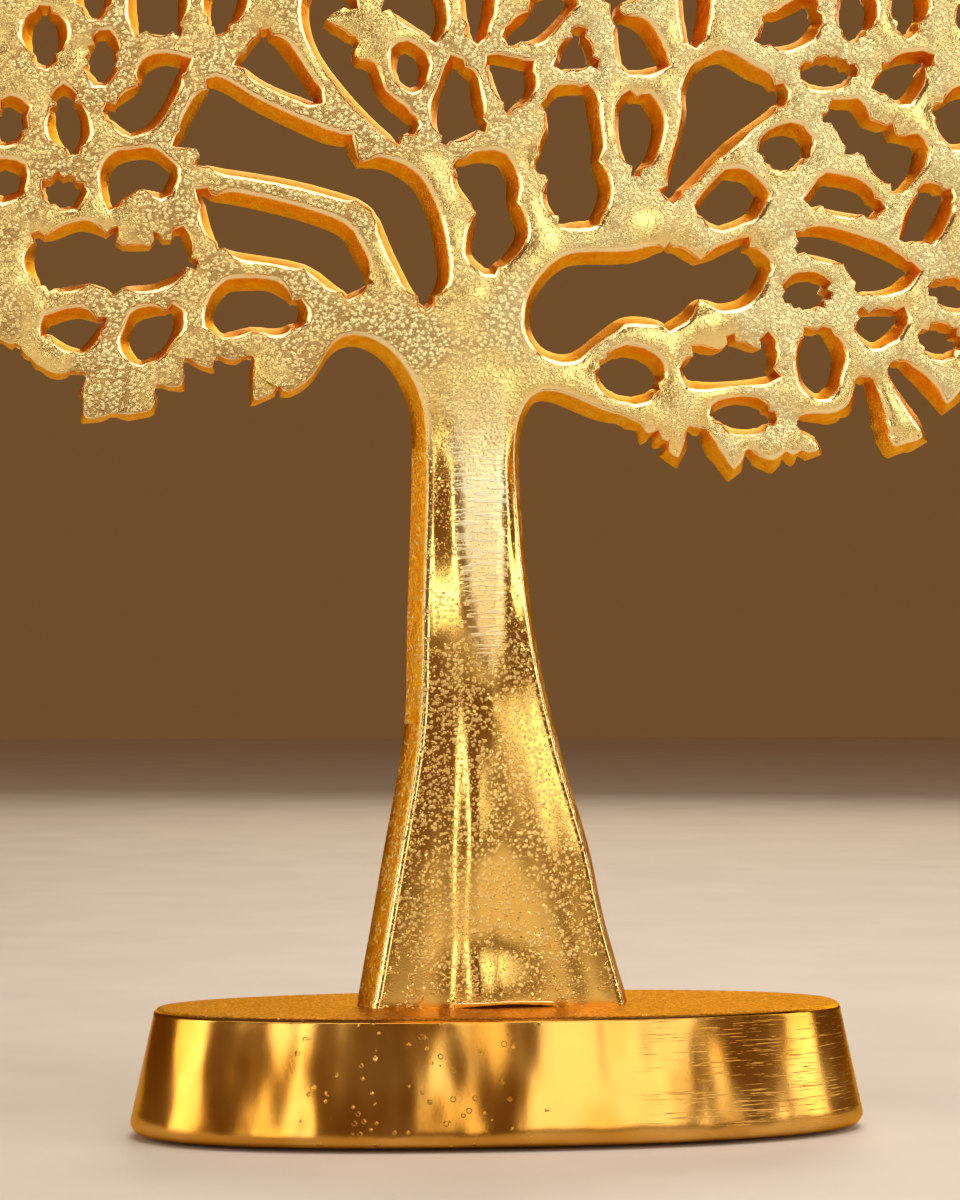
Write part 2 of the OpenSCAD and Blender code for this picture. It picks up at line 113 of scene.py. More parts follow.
def closeUp(piece, gap=0.01 * mm):
    # merges doubles and turns every face outwards
    bpy.ops.mesh.select_all(action="SELECT")
    bpy.ops.mesh.remove_doubles(threshold=gap)
    bpy.ops.mesh.normals_make_consistent(inside=False)
    bpy.ops.object.mode_set(mode="OBJECT")


def cutOrJoin(piece, tools, operation):
    # adds or takes away other solids, which are then gone
    for tool in tools:
        useOnly(piece)
        modifier = piece.modifiers.new("solids", "BOOLEAN")
        modifier.operation = operation
        modifier.solver = "MANIFOLD"
        modifier.object = tool
        bpy.ops.object.modifier_apply(modifier=modifier.name)
        bpy.data.objects.remove(tool)


def addCylinder(x, y, bottom, top, radius, sides=48):
    bpy.ops.mesh.primitive_cylinder_add(
        vertices=sides, radius=radius, depth=top - bottom, location=(x, y, (bottom + top) / 2)
    )
    return startPiece("cylinder")


def finishPiece(piece, node, finish, angle=35):
    useOnly(piece)
    bpy.ops.object.shade_smooth_by_angle(angle=math.radians(angle))
    piece.data.materials.clear()
    piece.data.materials.append(finish)
    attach(piece, "root")
    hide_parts(node)
    print("made", piece.name, len(piece.data.polygons), "faces")


class Wire:
    # a shader socket, with the sums that its values take
    def __init__(self, finish, socket):
        self.finish = finish
        self.socket = socket

    def maths(self, operation, a, b=0.0):
        return self.finish.add("ShaderNodeMath", {"operation": operation}, {0: a, 1: b})

    def __add__(self, other):
        return self.maths("ADD", self, other)

    def __sub__(self, other):
        return self.maths("SUBTRACT", self, other)

    def __rsub__(self, other):
        return self.maths("SUBTRACT", other, self)

    def __mul__(self, other):
        return self.maths("MULTIPLY", self, other)

    __radd__ = __add__
    __rmul__ = __mul__

    def most(self, other):
        return self.maths("MAXIMUM", self, other)

    def size(self):
        return self.maths("ABSOLUTE", self)

    def step(self, low, high):
        # 0 at low and 1 at high, with soft ends
        settings = {"interpolation_type": "SMOOTHSTEP"}
        values = {"Value": self, "From Min": low, "From Max": high}
        return self.finish.add("ShaderNodeMapRange", settings, values)


class Finish:
    # one material: its nodes, and the shader at its end
    def __init__(self, name):
        self.material = bpy.data.materials.new(name)
        self.material.use_nodes = True
        self.tree = self.material.node_tree
        self.shader = self.tree.nodes["Principled BSDF"]
        self.place = self.scaled(self.add("ShaderNodeTexCoord", {}, {}, "Object"), 1 / mm)
        self.x = self.add("ShaderNodeSeparateXYZ", {}, {0: self.place}, "X")
        self.z = self.add("ShaderNodeSeparateXYZ", {}, {0: self.place}, "Z")

    def add(self, kind, settings, values, output=0):
        node = self.tree.nodes.new(kind)
        for name, value in settings.items():
            setattr(node, name, value)
        for name, value in values.items():
            if isinstance(value, Wire):
                self.tree.links.new(value.socket, node.inputs[name])
            else:
                node.inputs[name].default_value = value
        return Wire(self, node.outputs[output])

    def scaled(self, vector, factor):
        return self.add("ShaderNodeVectorMath", {"operation": "SCALE"}, {0: vector, "Scale": factor})

    def mark(self, name):
        # a number stored on the mesh's vertices
        return self.add("ShaderNodeAttribute", {"attribute_name": name}, {}, "Fac")

    def noise(self, scale, detail=2.0, rough=0.5, stretch=(1, 1, 1), shift=0.0):
        # noise whose scale is in waves a millimetre
        change = {0: self.place, "Scale": stretch, "Location": (shift,) * 3}
        place = self.add("ShaderNodeMapping", {}, change)
        values = {"Vector": place, "Scale": scale, "Detail": detail, "Roughness": rough}
        return self.add("ShaderNodeTexNoise", {}, values)

    def spots(self, scale, shift=0.0, uneven=0.0):
        # distance to the nearest of many scattered points, in parts of their spacing
        place = self.add("ShaderNodeMapping", {}, {0: self.place, "Location": (shift,) * 3})
        if uneven:
            sway = self.add("ShaderNodeTexNoise", {}, {"Vector": place, "Scale": 1.4 * scale}, "Color")
            sway = self.scaled(sway, uneven)
            place = self.add("ShaderNodeVectorMath", {"operation": "ADD"}, {0: place, 1: sway})
        return self.add("ShaderNodeTexVoronoi", {}, {"Vector": place, "Scale": scale})

    def blend(self, share, first, second):
        # a colour between two colours
        ends = {0: share, 6: self.colour(first), 7: self.colour(second)}
        return self.add("ShaderNodeMix", {"data_type": "RGBA"}, ends, 2)

    def colour(self, value):
        return value if isinstance(value, Wire) else (*value, 1)

    def put(self, name, value):
        if isinstance(value, Wire):
            self.tree.links.new(value.socket, self.shader.inputs[name])
        else:
            value = self.colour(value) if isinstance(value, tuple) else value
            self.shader.inputs[name].default_value = value

    def relief(self, height, depth):
        # raises the surface by a height from 0 to 1 times a depth in millimetres
        values = {"Height": height, "Distance": depth * mm, "Strength": 1.0}
        self.put("Normal", self.add("ShaderNodeBump", {}, values))


treeGold = {
    # the colour for the creases between the face's grains is painted shade
    "face": (1.0, 0.90, 0.48), "faceShade": (1.0, 0.76, 0.29), "creaseShade": (0.42, 0.22, 0.04),
    # the rim colour is a painted highlight on the really polished rims
    # the wall colours are painted a deeper orange than the face: painted reflection and shade inside the
    # holes
    "rim": (1.0, 0.84, 0.46), "wall": (1.0, 0.50, 0.03), "wallShade": (0.92, 0.36, 0.01),
    # the mark colour is a painted highlight on the filed facet and its file marks
    "trunk": (1.0, 0.62, 0.15), "speck": (1.0, 0.74, 0.27), "mark": (1.0, 0.96, 0.64),
    "tint": (1.0, 0.74, 0.34),  # of reflections along the surface
    "grains": 1.25, "flakes": 1.15, "dots": 1.9, "marks": 1.9,  # how many to a millimetre
    "rough": 0.12,  # where it is polished
    "deep": 0.48,  # of the relief, in millimetres
}


def makeTreeGold():
    gold = Finish("cast_gold_tree")
    s = treeGold
    edge = gold.mark("edge")  # 0 at the middle of a wall, 1 where the flat face starts
    trunk = gold.mark("trunk")  # 0 in the crown, 1 in the trunk
    facet = gold.mark("facet")  # 1 on the trunk's filed front

    # small pebbles with creases between them
    grains = (1 - gold.spots(s["grains"], 0, 0.5)).step(0.36, 0.70)
    fine = gold.noise(3.4, 3.0, 0.6, shift=6.0)
    cloud = gold.noise(0.075, 2.0)
    patch = gold.noise(0.55, 3.0, 0.6, shift=9.0)
    onWall = 1 - edge.step(0.50, 0.72)
    onRim = edge.step(0.50, 0.66) * (1 - edge.step(0.84, 0.97))
    onFace = edge.step(0.84, 0.99) * (1 - trunk)
    sandy = onFace * (0.20 + 0.80 * cloud.step(0.36, 0.54)) * (1 - 0.5 * gold.x.step(-24, 20))
    facet = facet * gold.z.step(84, 98)

    # file marks run across the trunk's flat facet
    marks = gold.noise(1.0, 2.0, 0.5, stretch=(0.22, 1, s["marks"]), shift=3.0)
    marks = marks.step(0.52, 0.58) * facet.step(0.3, 0.9) * (1 - gold.z.step(142, 156))
    # cast flakes, dense in the lower middle of the trunk
    spread = gold.noise(0.16, 2.0, shift=5.0)
    fromMiddle = (gold.x + 3).size()
    dense = (1 - gold.z.step(80, 116)) * gold.z.step(22, 40) * (1 - 0.8 * fromMiddle.step(8, 24))
    crowd = gold.noise(0.42, 2.0, shift=4.0) * 0.7 + spread * 0.5 + dense * 0.16
    flakes = 1 - gold.spots(s["flakes"], 4.0, 0.7).step(0.36, 0.44)
    flakes = flakes * crowd.step(0.62, 0.72) * trunk * (1 - facet)
    dots = (1 - gold.spots(s["dots"], 4.0).step(0.18, 0.32)) * (spread + 0.10).step(0.54, 0.64)
    speck = flakes.most(dots * (0.25 + trunk * 0.5))

    face = gold.blend(cloud.step(0.38, 0.62), s["faceShade"], s["face"])
    # the creases between the grains are painted darker: painted shade
    face = gold.blend((1 - grains) * sandy * 0.8, face, s["creaseShade"])
    # the walls are painted a deeper orange than the face, as painted reflection and shade inside the
    # holes; the patches vary it at random
    wall = gold.blend(patch.step(0.35, 0.65), s["wallShade"], s["wall"])
    colour = gold.blend(onWall, gold.blend(trunk, face, s["trunk"]), wall)
    # the polished rims are painted paler too: a painted highlight
    colour = gold.blend(onRim * 0.8, colour, s["rim"])
    # the filed facet is painted paler, more so higher up, as a painted highlight; the real file marks on
    # it are painted paler as well
    facetHighlightAndFileMarks = facet * (0.25 + 0.4 * gold.z.step(100, 130)) + marks * 0.35
    colour = gold.blend(facetHighlightAndFileMarks, colour, s["mark"])
    colour = gold.blend(speck * 0.9, colour, s["speck"])
    gold.put("Base Color", colour)
    gold.put("Metallic", 1.0)
    gold.put("Specular Tint", s["tint"])
    rough = s["rough"] + onWall * 0.18 + onFace * 0.10 + sandy * 0.02
    gold.put("Roughness", rough + marks * 0.14 + facet * 0.10 + speck * 0.20)
    height = grains * (sandy + onWall * 0.18) * 0.42 + fine * (sandy * 0.34 + onWall * 0.34 + 0.02)
    gold.relief(height + marks * 0.14 + speck * 0.30 + patch * onWall * 0.4, s["deep"])
    return gold.material


tree = {
    "spacing": 1.15 * mm,  # between the points along each edge
    "runOn": 8 * mm,  # how far the trunk is made below its foot before it is cut off
    "sharpTurn": 34,  # the outline keeps its corners that turn by more degrees than this
    "holeOverhang": 1.0 * mm,  # how far the middle of a hole's wall stands in past the model's
    "edgeOverhang": 2.6 * mm,  # the same for the crown's lower edge
    "neckOverhang": 1.5 * mm,  # the same for the left of the trunk's neck
    "gapShare": 0.55,  # how much of the free space an overhang may take up
    "chipWide": 4.4 * mm, "chipDeep": 1.2 * mm,  # the lower edge's chiselled facets
    "lowEdge": (165 * mm, 185 * mm),  # the lower edge turns into the plain rim between these heights
    "sideX": -6 * mm, "sideWide": 34 * mm,  # the trunk's sides lie this near to this middle
    "sideTop": (132 * mm, 152 * mm),  # and turn into the lower edge between these heights
    "neckFoot": (76 * mm, 104 * mm), "neckTop": (144 * mm, 164 * mm),  # ends of the neck's overhang
    "neckX": -18 * mm, "neckReach": (8 * mm, 16 * mm),  # and how far to each side of there it goes
    "neckRight": -8 * mm,  # no further right than here
    "crookX": -10 * mm,  # the smooth part of the lower edge, on both sides of the trunk
    "crookWide": (26 * mm, 34 * mm), "crookTop": (190 * mm, 200 * mm), "crookFoot": (20 * mm, 60 * mm),
    "edgeLean": 1.35, "holeLean": 1.12,  # width of those walls, in widths of the crown's upper edge
    "leftLean": 1.55, "rightLean": 0.8,  # the same for the trunk's edges
    "cornerSkip": 4.0 * mm,  # how near along the lower edge other walls may be
    "fitShare": 0.8,  # how much of the metal's width the two edges of a bar may take up
    "thinDrop": 0.25,  # how far the thinnest bars fall short of the crown's full thickness
    "rimRounds": 12,  # how much smoother than the lower edge its front rim is
    "neck": 126 * mm, "crownTop": 152 * mm,  # the trunk turns into the crown between these heights
    "trunkX": -4 * mm, "trunkWide": 45 * mm,  # it lies this near to this middle
    "sidesWide": 36 * mm,  # and its own edges this near
    "rimShare": 0.68,  # depth of the trunk's front at its rims, as a share of its thickness
    "ridgeX": -2.5 * mm,  # the ridge down the trunk's front
    "scoopFoot": 34 * mm, "scoopTop": 62 * mm, "scoopDepth": 0.7 * mm,
    "lip": (1 * mm, 14 * mm),  # the front flares out at the foot between these heights over it
    "fluteFade": (40 * mm, 104 * mm), "fluteDeep": 1.3 * mm,  # soft upright flutes in the lower trunk
    # points on the shaped face: rows beside the rims, and a grid between them
    "rimRows": (0.8 * mm, 1.6 * mm), "rimClear": 0.9 * mm, "wallClear": 1.2 * mm,
    "gridFoot": 4 * mm, "gridTop": 164 * mm, "gridHigh": 1.8 * mm, "gridWide": 1.5 * mm,
    "gridSpread": 0.7,  # how fast the grid grows wider above the neck
}
# the ridge is filed flat above these shares of its rise, at these heights
facetHeights = [88 * mm, 100 * mm, 119 * mm, 144 * mm]
facetShares = [1.0, 0.65, 0.38, 0.28]
# across an edge: how far in it goes from the middle of the wall, and its share of the depth there
edgeSteps = [(0, 0), (0.7, 0.37), (1.35, 0.70), (1.8, 0.88), (2.15, 0.965), (2.6, 1.0)]
edgeWide = edgeSteps[-1][0] * mm


def sectionLoops():
    # the closed edges of the tree's section halfway through its thickness
    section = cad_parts["tree_casting"].copy()
    section.data = section.data.copy()
    bpy.context.scene.collection.objects.link(section)
    useOnly(section)
    bpy.ops.object.mode_set(mode="EDIT")
    bpy.ops.mesh.select_all(action="SELECT")
    bpy.ops.mesh.remove_doubles(threshold=0.001 * mm)
    bpy.ops.mesh.select_all(action="SELECT")
    bpy.ops.mesh.bisect(plane_co=(0, 0, 0), plane_no=(0, 1, 0), clear_inner=True, clear_outer=True)
    bpy.ops.mesh.select_all(action="SELECT")
    bpy.ops.mesh.remove_doubles(threshold=0.02 * mm)
    bpy.ops.object.mode_set(mode="OBJECT")
    points = [(v.co.x, v.co.z) for v in section.data.vertices]
    beside = {i: [] for i in range(len(points))}
    for link in section.data.edges:
        a, b = link.vertices
        beside[a].append(b)
        beside[b].append(a)
    bpy.data.objects.remove(section)
    loops = []
    left = {i for i in beside if len(beside[i]) == 2}
    while left:
        here = left.pop()
        loop = [here]
        ahead = [i for i in beside[here] if i in left]
        while ahead:
            here = ahead[0]
            left.discard(here)
            loop.append(here)
            ahead = [i for i in beside[here] if i in left]
        if len(loop) > 5:
            loops.append(np.array([points[i] for i in loop]))
    return loops


def area(loop):
    x, z = loop[:, 0], loop[:, 1]
    return 0.5 * np.sum(x * np.roll(z, -1) - np.roll(x, -1) * z)


def evenly(loop, step):
    # the same closed line, with its points evenly spaced: further columns are carried along
    ends = np.vstack([loop, loop[:1]])
    run = np.concatenate([[0], np.cumsum(np.hypot(*np.diff(ends[:, :2], axis=0).T))])
    count = max(10, round(run[-1] / step))
    at = np.linspace(0, run[-1], count, endpoint=False)
    return np.column_stack([np.interp(at, run, column) for column in ends.T])


def curved(loop, steps=6):
    # a closed curve through every point of the loop
    a, b, c, d = (np.roll(loop, shift, axis=0) for shift in (1, 0, -1, -2))
    rows = []
    for t in np.arange(steps) / steps:
        bend = (2 * a - 5 * b + 4 * c - d) * t**2 + (3 * b - a - 3 * c + d) * t**3
        rows.append(0.5 * (2 * b + (c - a) * t + bend))
    return np.stack(rows, axis=1).reshape(-1, 2)


def lengths(rows):
    return np.hypot(rows[:, 0], rows[:, 1])[:, None]


def facetted(loop, step):
    # a closed line with evenly spaced points, curved where it turns gently and cornered elsewhere
    ahead = np.roll(loop, -1, axis=0) - loop
    long = lengths(ahead)
    way = ahead / long
    back = np.roll(way, 1, axis=0)
    gentle = np.sum(way * back, axis=1) > math.cos(math.radians(tree["sharpTurn"]))
    tangent = (way + back) / np.maximum(lengths(way + back), 0.1)
    rows = []
    for i in range(len(loop)):
        j = (i + 1) % len(loop)
        start = long[i] * (tangent[i] if gentle[i] else way[i])
        stop = long[i] * (tangent[j] if gentle[j] else way[i])
        count = max(1, round(float(long[i, 0]) / step))
        t = (np.arange(count) / count)[:, None]
        bend = (t**3 - 2 * t**2 + t) * start + (t**3 - t**2) * stop
        rows.append((2 * t**3 - 3 * t**2 + 1) * loop[i] + (3 * t**2 - 2 * t**3) * loop[j] + bend)
    return np.vstack(rows)


def overhang(x, z, along):
    # how far the middle of the outline's wall stands out, at each of its points
    crown = 1 - ramp(z, *tree["lowEdge"])
    trunk = (np.abs(x - tree["sideX"]) < tree["sideWide"]) * (1 - ramp(z, *tree["sideTop"]))
    crook = 1 - ramp(np.abs(x - tree["crookX"]), *tree["crookWide"])
    # the lower edge is chiselled in short flat facets of uneven widths
    along = along / tree["chipWide"]
    along = along + 0.3 * np.sin(1.7 * along)
    chips = tree["chipDeep"] * np.abs(2 * (along % 1) - 1)
    edge = (tree["edgeOverhang"] + chips * (1 - crook)) * crown * (1 - trunk)
    neck = ramp(z, *tree["neckFoot"]) * (1 - ramp(z, *tree["neckTop"]))
    neck = neck * (x < tree["neckRight"]) * (1 - ramp(np.abs(x - tree["neckX"]), *tree["neckReach"]))
    return np.maximum(edge, tree["neckOverhang"] * neck)


def pushedOut(loops):
    # moves each edge out of the metal to the middle of its wall, where there is room
    points = np.vstack(loops)
    count = len(loops[0])
    normals = np.vstack([inwardNormals(loop) for loop in loops])
    walls = np.vstack([evenly(loop, tree["spacing"] / 2) for loop in loops])
    crown = 1 - ramp(loops[0][:, 1], *tree["lowEdge"])
    out = np.full(len(points), tree["holeOverhang"])
    out[:count] = overhang(*loops[0].T, roundTheLoops(loops[:1]))
    out = np.minimum(out, tree["gapShare"] * roomInside(points, -normals, walls))
    points = points - normals * out[:, None]
    loops = np.split(points, np.cumsum([len(loop) for loop in loops])[:-1])
    # how far the chiselled facets stand out is carried along
    chips = np.maximum(out[:count] - tree["edgeOverhang"], 0) * crown
    outline = evenly(np.column_stack([loops[0], chips]), tree["spacing"])
    loops[0] = smoothCrooks(outline[:, :2], 8)
    chips = np.concatenate([outline[:, 2], np.zeros(sum(len(loop) for loop in loops[1:]))])
    return loops, chips


def treeLoops():
    # the outline first, then the holes, each with evenly spaced points
    loops = sorted(sectionLoops(), key=lambda loop: -abs(area(loop)))
    outline = loops[0]
    if area(outline) < 0:
        outline = outline[::-1]
    # from the foot's right corner, up and round to its left corner
    onFoot = outline[:, 1] < footTop + 0.01 * mm
    footLeft, footRight = outline[onFoot][:, 0].min(), outline[onFoot][:, 0].max()
    first = int(np.argmax(np.where(onFoot, outline[:, 0], -1)))
    outline = np.roll(outline, -first, axis=0)
    # the screw holes and the arch notch the foot of the section: they are cut later
    x, z = outline.T
    notch = (z < screwsHigh.z + 2 * mm) & (x > footLeft + 5 * mm) & (x < footRight - 5 * mm)
    rest = outline[(z > footTop + 0.01 * mm) & ~notch]
    # the trunk runs on below its foot, and is cut off flat there at the end
    below = footTop - tree["runOn"]
    start = [(footLeft, below), (footRight, below), (footRight, footTop)]
    outline = np.vstack([start, rest, [(footLeft, footTop)]])
    outline = smoothCrooks(facetted(outline, tree["spacing"]))
    holes = []
    for loop in loops[1:]:
        loop = loop if area(loop) < 0 else loop[::-1]
        holes.append(evenly(curved(loop), tree["spacing"]))
    return pushedOut([outline] + holes)


def smoothCrooks(outline, rounds=40):
    # evens out the lower edge where it curves round into the trunk
    x, z = outline.T
    share = (1 - ramp(np.abs(x - tree["crookX"]), *tree["crookWide"])) * (1 - ramp(z, *tree["crookTop"]))
    return relaxed(outline, share * ramp(z - footTop, *tree["crookFoot"]), rounds)


def relaxed(rows, share, rounds):
    # draws each row towards the middle of its neighbours round the loop
    for _ in range(rounds):
        beside = (np.roll(rows, 1, axis=0) + np.roll(rows, -1, axis=0)) / 2
        rows = rows + (beside - rows) * share[:, None] / 2
    return rows


def inwardNormals(loop):
    # square to the edge, into the metal: the outline runs anticlockwise and the holes clockwise
    # a corner's normal is longer, so that the faces beside it keep their width
    ahead = np.roll(loop, -1, axis=0) - loop
    ahead /= lengths(ahead)
    both = ahead + np.roll(ahead, 1, axis=0)
    along = both / np.maximum(lengths(both) ** 2 / 2, 0.9)
    return np.column_stack([-along[:, 1], along[:, 0]])


def roundTheLoops(loops):
    # how far along its loop each point lies, with the loops far apart
    places = []
    for k, loop in enumerate(loops):
        ahead = lengths(np.roll(loop, -1, axis=0) - loop)[:, 0]
        places.append(10 * k + np.cumsum(ahead) - ahead)
    return np.concatenate(places)


def roomInside(points, normals, walls, pointPlace=None, wallPlace=None, skip=None):
    # for each edge point, the radius of the largest circle in the metal that touches the edge there
    # where skip is given, the walls that near along the same loop don't count
    room = np.full(len(points), 1.0)
    for start in range(0, len(points), 200):
        part = slice(start, start + 200)
        away = walls[None, :, :] - points[part, None, :]
        ahead = np.einsum("ijk,ik->ij", away, normals[part])
        apart = np.einsum("ijk,ijk->ij", away, away)
        radius = np.where(ahead > 0.04 * mm, apart / (2 * np.maximum(ahead, 1e-9)), 1.0)
        if skip is not None:
            near = np.abs(wallPlace[None, :] - pointPlace[part, None]) < skip[part, None]
            radius = np.where(near, 1.0, radius)
        room[part] = radius.min(axis=1)
    return room


def fannedNormals(normals, share, rounds=20):
    # turns the inward direction gradually round each corner, where share is 1
    normals = relaxed(normals, share, rounds)
    unit = normals / np.maximum(lengths(normals), 0.3)
    return normals + (unit - normals) * share[:, None]


def evenFit(loop, normals, reach, fit, free):
    # makes the rounding narrower, in place, where neighbours differ much or would cross
    # where free is 1 it may change faster, and the inner line is relaxed afterwards
    for _ in range(8):
        beside = (np.roll(fit, 1) + np.roll(fit, -1)) / 2
        np.minimum(fit, beside + 0.05 + 0.2 * free, out=fit)
        inner = loop + normals * (reach * fit)[:, None]
        before, after = (np.roll(line, -1, axis=0) - line for line in (loop, inner))
        turned = np.einsum("ij,ij->i", before, after) < 0.25 * np.einsum("ij,ij->i", before, before)
        fit *= np.where(turned | np.roll(turned, 1), 0.8 + 0.2 * free, 1)


def ramp(value, low, high):
    share = np.clip((value - low) / (high - low), 0, 1)
    return share * share * (3 - 2 * share)


class TrunkShape:
    # how deep the tree's front face lies at each place
    def __init__(self, outline):
        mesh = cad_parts["tree_casting"].data
        spots = np.array([v.co for v in mesh.vertices])
        self.plate = np.abs(spots[spots[:, 2] > tree["crownTop"] + 20 * mm][:, 1]).max()
        thick = spots[np.abs(spots[:, 1]) > self.plate + 0.05 * mm]
        heights = np.unique(thick[:, 2].round(5))
        deepest = [np.abs(thick[np.abs(thick[:, 2] - z) < 0.1 * mm][:, 1]).max() for z in heights]
        self.heights = np.append(heights, tree["crownTop"])
        self.deepest = np.append(deepest, self.plate)
        byTrunk = np.abs(outline[:, 0] - tree["trunkX"]) < tree["sidesWide"]
        side = outline[(outline[:, 1] < tree["neck"] + 6 * mm) & byTrunk]
        side = side[np.argsort(side[:, 1], kind="stable")]
        centre = np.interp(side[:, 1], [footTop, tree["neck"]], [-1.5 * mm, -6 * mm])
        self.left, self.right = side[side[:, 0] < centre], side[side[:, 0] > centre]

    def sides(self, z):
        left = np.interp(z, self.left[:, 1], self.left[:, 0])
        right = np.interp(z, self.right[:, 1], self.right[:, 0])
        return left, right

    def share(self, x, z):
        # 1 in the trunk, 0 in the crown
        near = np.abs(x - tree["trunkX"]) < tree["trunkWide"]
        return (1 - ramp(z, tree["neck"], tree["crownTop"])) * near

    def thickness(self, z):
        return np.interp(z, self.heights, self.deepest)

    def facetCap(self, z):
        return np.interp(z, facetHeights, facetShares)

    def rise(self, x, z):
        # 0 at the rims, 1 on the ridge or on the flat facet
        left, right = self.sides(z)
        rimLeft, rimRight = left + edgeWide * tree["leftLean"], right - edgeWide * tree["rightLean"]
        ridge = np.maximum(tree["ridgeX"], rimLeft + 2 * mm)
        up = np.where(x < ridge, (x - rimLeft) / (ridge - rimLeft), (rimRight - x) / (rimRight - ridge))
        return np.clip(up, 0, 1)

    def depth(self, x, z):
        whole = self.thickness(z)
        up = np.clip(self.rise(x, z) / self.facetCap(z), 0, 1)
        front = whole * (tree["rimShare"] + (1 - tree["rimShare"]) * up)
        # a shallow scoop that widens downwards, over a lip that flares out at the foot
        halfWidth = 2 * mm + 0.5 * np.clip(tree["scoopTop"] - z, 0, 60 * mm)
        across = 1 - ramp(np.abs(x - tree["ridgeX"]), 0, halfWidth)
        down = 1 - ramp(z, tree["scoopFoot"], tree["scoopTop"])
        lip = ramp(z - footTop, *tree["lip"])
        front = front - tree["scoopDepth"] * across * down * lip
        # flutes that spread with the trunk
        left, right = self.sides(z)
        u = (x - left) / (right - left)
        wave = 0.6 * np.cos(20 * u + 0.6 + 12 * (z - footTop)) + 0.4 * np.cos(33 * u + 2.0)
        fade = (1 - ramp(z, *tree["fluteFade"])) * ramp(np.minimum(u, 1 - u), 0.10, 0.25)
        front = front - tree["fluteDeep"] * fade * (0.5 + 0.5 * wave)
        share = self.share(x, z)
        return share * front + (1 - share) * self.plate

    def onFacet(self, x, z):
        return ramp(self.rise(x, z) / self.facetCap(z), 0.85, 1.0) * self.share(x, z)


def edgeReach(shape, x, z, onOutline, low, chips):
    # how wide the rounded edge is at each point
    share = shape.share(x, z)
    left, right = shape.sides(z)
    trunkLean = np.where(x < (left + right) / 2, tree["leftLean"], tree["rightLean"])
    crownLean = np.where(onOutline, 1 + low * (tree["edgeLean"] - 1), tree["holeLean"])
    lean = crownLean + share * (trunkLean - crownLean)
    # a facet that stands out further slopes back further too
    return edgeWide * (lean + chips * (1 - share) / edgeWide)


def edgeFit(loops, normals, reach, low):
    # the share of that width which the metal has room for
    fine = [evenly(loop, tree["spacing"] / 3) for loop in loops]
    places = roundTheLoops(loops), roundTheLoops(fine), low * tree["cornerSkip"]
    room = roomInside(np.vstack(loops), normals, np.vstack(fine), *places)
    fit = np.minimum(1, tree["fitShare"] * room / reach)
    start = 0
    for loop in loops:
        part = slice(start, start + len(loop))
        evenFit(loop, normals[part], reach[part], fit[part], low[part])
        start += len(loop)
    return fit


def nextPoints(loops):
    # the number of the point that follows each one round its loop
    counts = [len(loop) for loop in loops]
    numbers = np.split(np.arange(sum(counts)), np.cumsum(counts)[:-1])
    return np.concatenate([np.roll(part, -1) for part in numbers])


def nearest(spot, points):
    return np.hypot(*(points - spot).T).min()


def faceGrid(shape, walls, rims):
    # points on the face where the trunk is shaped, clear of the edges
    grid = []
    for z in np.arange(footTop - tree["gridFoot"], tree["gridTop"], tree["gridHigh"]):
        left, right = shape.sides(min(z, tree["neck"]))
        spread = tree["gridSpread"] * max(z - tree["neck"], 0)
        grid += [(x, z) for x in np.arange(left - spread, right + spread, tree["gridWide"])]
    grid = [spot for spot in grid if nearest(spot, rims) > tree["rimClear"]]
    return [spot for spot in grid if nearest(spot, walls) >= tree["wallClear"]]


def fillFace(shape, rims, further, borders, base):
    # the flat of the face, from the rims on: its new points, and its triangles
    flat = np.vstack([rims, further])
    result = delaunay_2d_cdt([Vector(spot) for spot in flat], borders, [], 1, 0.0005 * mm)
    places, triangles, origins = result[0], result[2], result[3]
    print("face points", len(places), "crossings", len(places) - len(flat))
    number, spots = {}, []
    for i, origin in enumerate(origins):
        known = [j for j in origin if j < len(rims)]
        if known:
            number[i] = base + known[0]
        else:
            number[i] = base + len(rims) + len(spots)
            x, z = places[i]
            spots.append((x, -float(shape.depth(x, z)), z))
    triangles = metalOnly(triangles, origins, borders)
    return spots, [tuple(number[i] for i in triangle) for triangle in triangles]


def buildTreeFront():
    # the front half of the tree, from the middle of its walls to its face
    loops, chips = treeLoops()
    shape = TrunkShape(loops[0])
    points = np.vstack(loops)
    x, z = points.T
    count = len(loops[0])
    onOutline = np.arange(len(points)) < count
    low = onOutline * (1 - ramp(z, *tree["lowEdge"]))
    reach = edgeReach(shape, x, z, onOutline, low, chips)
    normals = np.vstack([inwardNormals(loop) for loop in loops])
    normals[:count] = fannedNormals(normals[:count], low[:count])
    fit = edgeFit(loops, normals, reach, low)
    rims = points + normals * (reach * fit)[:, None]
    rims[:count] = relaxed(rims[:count], low[:count], tree["rimRounds"])

    # rows of points across every edge, and the faces between them
    whole = shape.depth(*(points + normals * reach[:, None]).T)
    top = 1 - tree["thinDrop"] * (1 - fit)
    here, ahead = np.arange(len(points)), nextPoints(loops)
    last = len(edgeSteps) - 1
    spots, faces = [], []
    for k, (inward, up) in enumerate(edgeSteps):
        at = points + (rims - points) * (inward / edgeSteps[last][0])
        depth = np.minimum(shape.depth(*at.T), whole) * top * up
        spots.append(np.column_stack([at[:, 0], -depth, at[:, 1]]))
        below, above = k * len(points), (k + 1) * len(points)
        if k < last:
            faces += list(zip(here + below, ahead + below, ahead + above, here + above))

    # two more rows of points follow the trunk's rims
    beside = (shape.share(x, z) > 0.05) & (fit > 0.9)
    rows = [rims[beside] + normals[beside] * width for width in tree["rimRows"]]
    grid = faceGrid(shape, points, np.vstack([rims, rows[1]]))
    borders = list(zip(here.tolist(), ahead.tolist()))
    extra, triangles = fillFace(shape, rims, np.vstack([*rows, grid]), borders, last * len(points))
    marks = np.concatenate([np.repeat(np.arange(last + 1) / last, len(points)), np.ones(len(extra))])
    return np.vstack(spots + [extra]), faces + triangles, marks, shape


